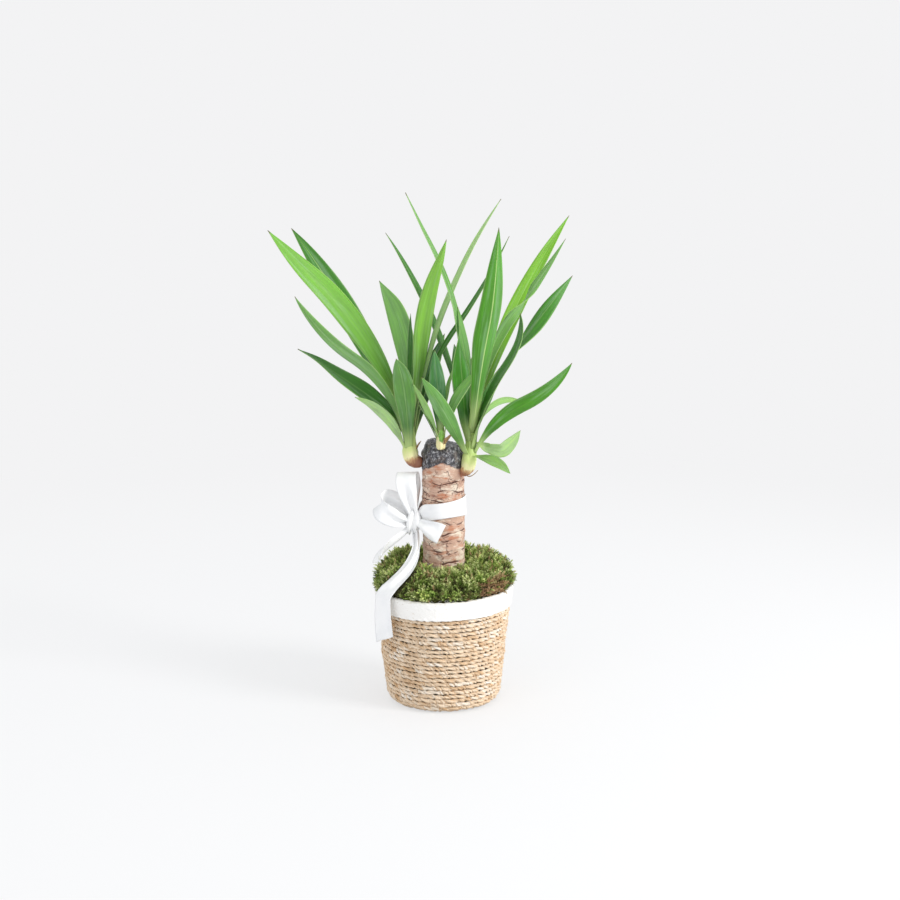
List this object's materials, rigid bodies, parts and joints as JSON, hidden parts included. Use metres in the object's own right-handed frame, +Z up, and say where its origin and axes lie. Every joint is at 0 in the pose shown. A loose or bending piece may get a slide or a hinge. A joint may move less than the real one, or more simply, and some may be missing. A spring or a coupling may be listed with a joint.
{
  "type": "potted yucca",
  "caption": "Potted yucca with leafy shoots on a short trunk, moss over the soil, a satin ribbon round the trunk and a seagrass rope basket with a white rope collar.",
  "frame": {"origin": "centre of the basket's flat underside", "axes": "+Z up along the trunk, -Y towards the front where the ribbon's knot shows, +X to the viewer's right"},
  "size_m": [0.3644, 0.4256, 0.6261],
  "materials": {
    "seagrass_rope": "matte",
    "white_rope": "matte",
    "liner_film": "satin",
    "nursery_plastic": "satin",
    "peat": "matte",
    "green_moss": "matte",
    "bark": "matte",
    "shoot_stem": "satin",
    "leaf_green": "satin",
    "dry_husk": "matte",
    "white_satin": "satin"
  },
  "bodies": {
    "root": {"basket": "seagrass_rope", "rim_band": "white_rope", "plastic_liner": "liner_film", "nursery_pot": "nursery_plastic", "potting_soil": "peat", "moss": "green_moss", "trunk": "bark", "left_shoot": "shoot_stem", "middle_shoot": "shoot_stem", "right_shoot": "shoot_stem", "dry_sheath": "dry_husk", "dry_bract": "dry_husk", "ribbon": "white_satin", "leaf_left_01": "leaf_green", "leaf_left_02": "leaf_green", "leaf_left_03": "leaf_green", "leaf_left_04": "leaf_green", "leaf_left_05": "leaf_green", "leaf_left_06": "leaf_green", "leaf_left_07": "leaf_green", "leaf_left_08": "leaf_green", "leaf_left_09": "leaf_green", "leaf_left_10": "leaf_green", "leaf_left_11": "leaf_green", "leaf_left_12": "leaf_green", "leaf_left_13": "leaf_green", "leaf_right_01": "leaf_green", "leaf_right_02": "leaf_green", "leaf_right_03": "leaf_green", "leaf_right_04": "leaf_green", "leaf_right_05": "leaf_green", "leaf_right_06": "leaf_green", "leaf_right_07": "leaf_green", "leaf_right_08": "leaf_green", "leaf_right_09": "leaf_green", "leaf_right_10": "leaf_green", "leaf_right_11": "leaf_green", "leaf_right_12": "leaf_green", "leaf_right_13": "leaf_green", "leaf_right_14": "leaf_green", "leaf_right_15": "leaf_green", "leaf_middle_01": "leaf_green", "leaf_middle_02": "leaf_green", "leaf_middle_03": "leaf_green", "leaf_middle_04": "leaf_green", "leaf_middle_05": "leaf_green", "leaf_middle_06": "leaf_green"}
  },
  "joints": []
}
